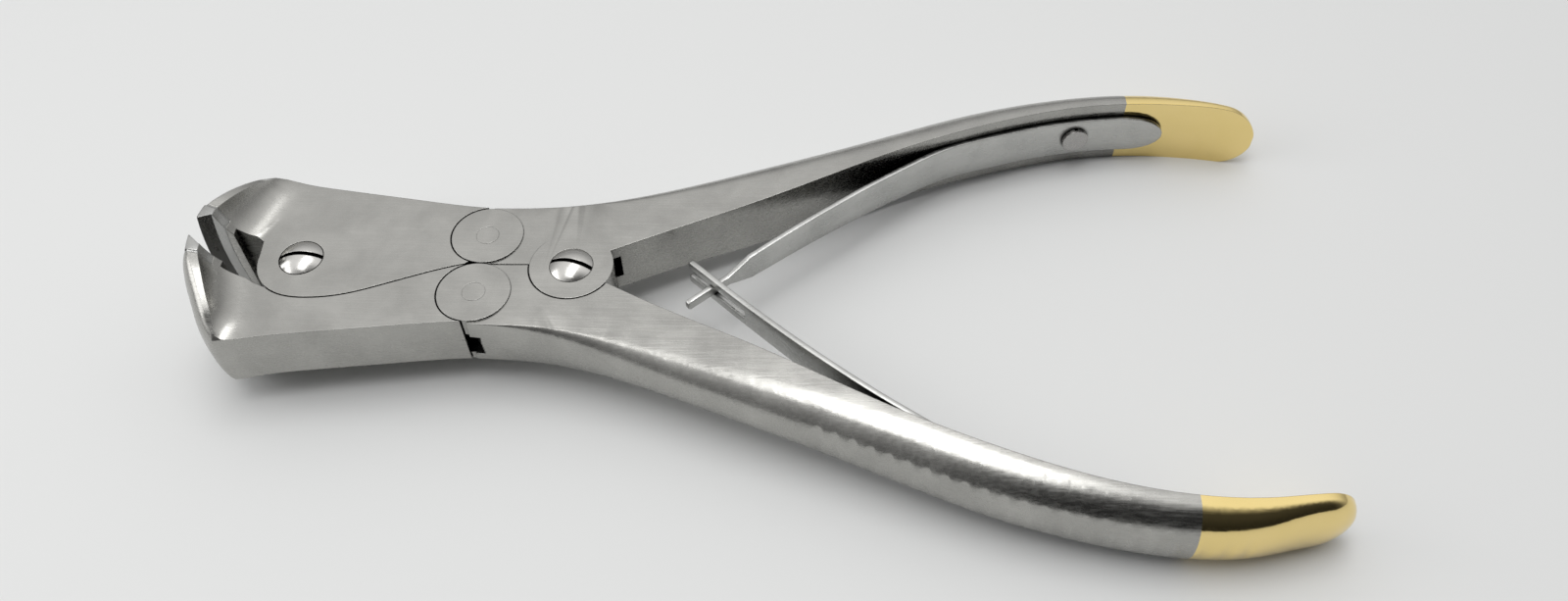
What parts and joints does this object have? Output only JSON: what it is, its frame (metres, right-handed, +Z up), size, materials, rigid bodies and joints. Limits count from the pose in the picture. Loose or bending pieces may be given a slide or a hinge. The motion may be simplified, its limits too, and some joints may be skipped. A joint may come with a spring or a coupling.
{
  "type": "cutting forceps",
  "caption": "Double-action end-cutting forceps: hinged jaws with hard edges, bowed handles with gold-coloured ends, and crossed leaf springs that hold it open.",
  "frame": {"origin": "centre of the footprint, on the plane of the lowest point of the jaws' beaks", "axes": "the forceps lies on its side: +X from the jaws to the handle ends, +Y to the upper handle's side, +Z up, square to the plates"},
  "size_m": [0.2308, 0.1164, 0.0311],
  "materials": {
    "handle_steel_gold_ends": "satin steel, with polished gold-coloured plating on the rear ends of the handles",
    "jaw_steel": "satin",
    "hard_insert": "ground, dark",
    "screw_steel": "polished dome with a straight slot",
    "pin_steel": "ground flush with the plates",
    "spring_steel": "satin",
    "small_screw_steel": "satin"
  },
  "bodies": {
    "lower_handle": {"handle_lower": "handle_steel_gold_ends", "link_pin_lower": "pin_steel", "spring_lower": "spring_steel", "spring_screw_lower": "small_screw_steel"},
    "upper_handle": {"handle_upper": "handle_steel_gold_ends", "link_pin_upper": "pin_steel", "spring_upper": "spring_steel", "spring_screw_upper": "small_screw_steel", "main_pivot_screw": "screw_steel"},
    "lower_jaw": {"jaw_lower": "jaw_steel", "cutting_insert_lower": "hard_insert", "front_pivot_screw": "screw_steel"},
    "upper_jaw": {"jaw_upper": "jaw_steel", "cutting_insert_upper": "hard_insert"}
  },
  "joints": [
    {"name": "main_pivot", "type": "hinge", "parent": "lower_handle", "child": "upper_handle", "pos_m": [-0.03618, 0, 0.01555], "axis": [0, 0, 1], "range_deg": [-28, 0], "stiffness_Nm_per_rad": 0.6, "springref_deg": 34.38, "deforming": ["spring_upper", "spring_lower"]},
    {"name": "lower_link", "type": "hinge", "parent": "lower_handle", "child": "lower_jaw", "pos_m": [-0.05528, -0.00775, 0.01555], "axis": [0, 0, 1], "range_deg": [-20.75, 0]},
    {"name": "upper_link", "type": "hinge", "parent": "upper_handle", "child": "upper_jaw", "pos_m": [-0.05528, 0.00775, 0.01555], "axis": [0, 0, 1], "range_deg": [0, 20.75]}
  ],
  "couplings": [
    {"joint": "lower_link", "follows": "main_pivot", "ratio": 0.7391},
    {"joint": "upper_link", "follows": "main_pivot", "ratio": -0.7391}
  ]
}
